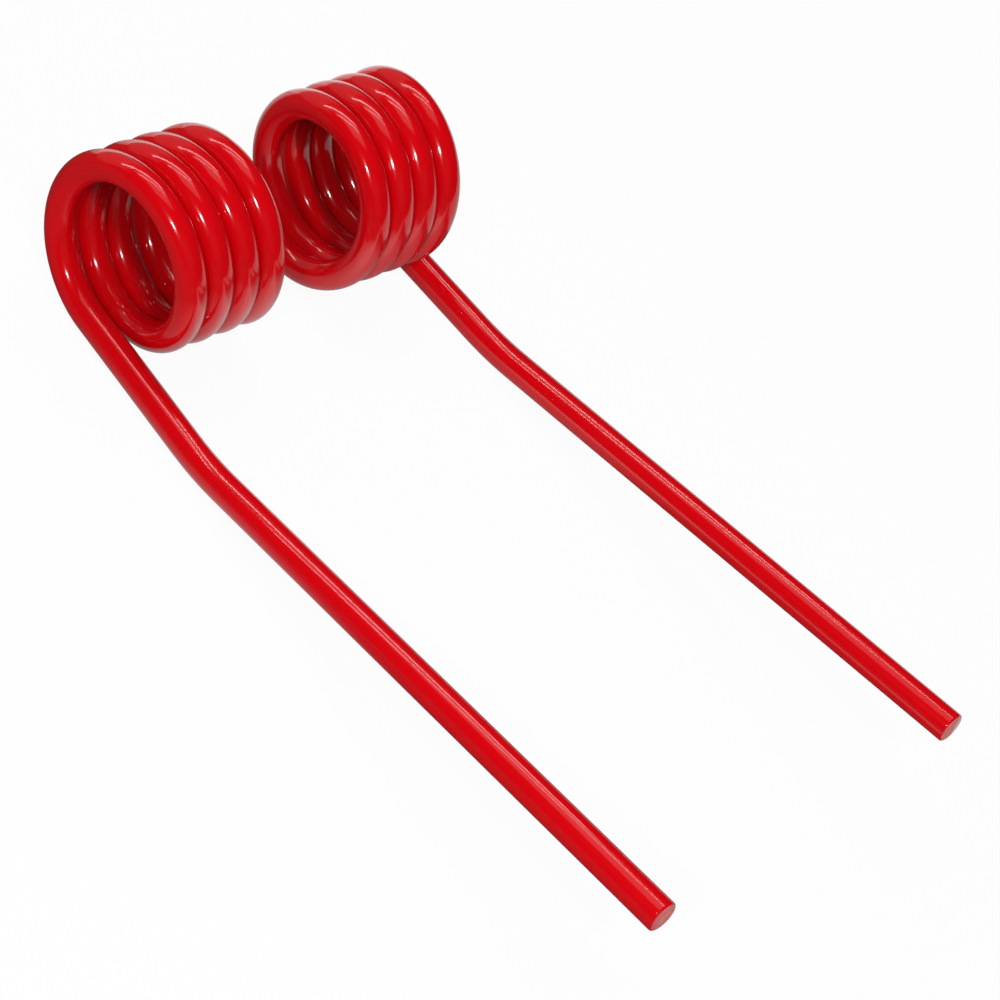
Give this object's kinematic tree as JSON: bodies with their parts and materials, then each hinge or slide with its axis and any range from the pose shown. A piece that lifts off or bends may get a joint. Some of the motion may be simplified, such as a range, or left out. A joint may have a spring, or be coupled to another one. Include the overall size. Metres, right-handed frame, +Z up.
{
  "type": "baler pick-up tine",
  "caption": "Double spring tine bent from round wire: coil springs joined by a bolt loop, each running out to a long tine with a slight upward bend and a flat cut end.",
  "frame": {"origin": "centre of the bolt loop, on the plane that the tine lies on", "axes": "+Y from the bolt loop to the tips, +Z up from the plane, X along the axis of the coils"},
  "size_m": [0.077, 0.166, 0.036],
  "materials": {
    "red_coat": "gloss"
  },
  "bodies": {
    "root": {"double_tine": "red_coat"}
  },
  "joints": []
}
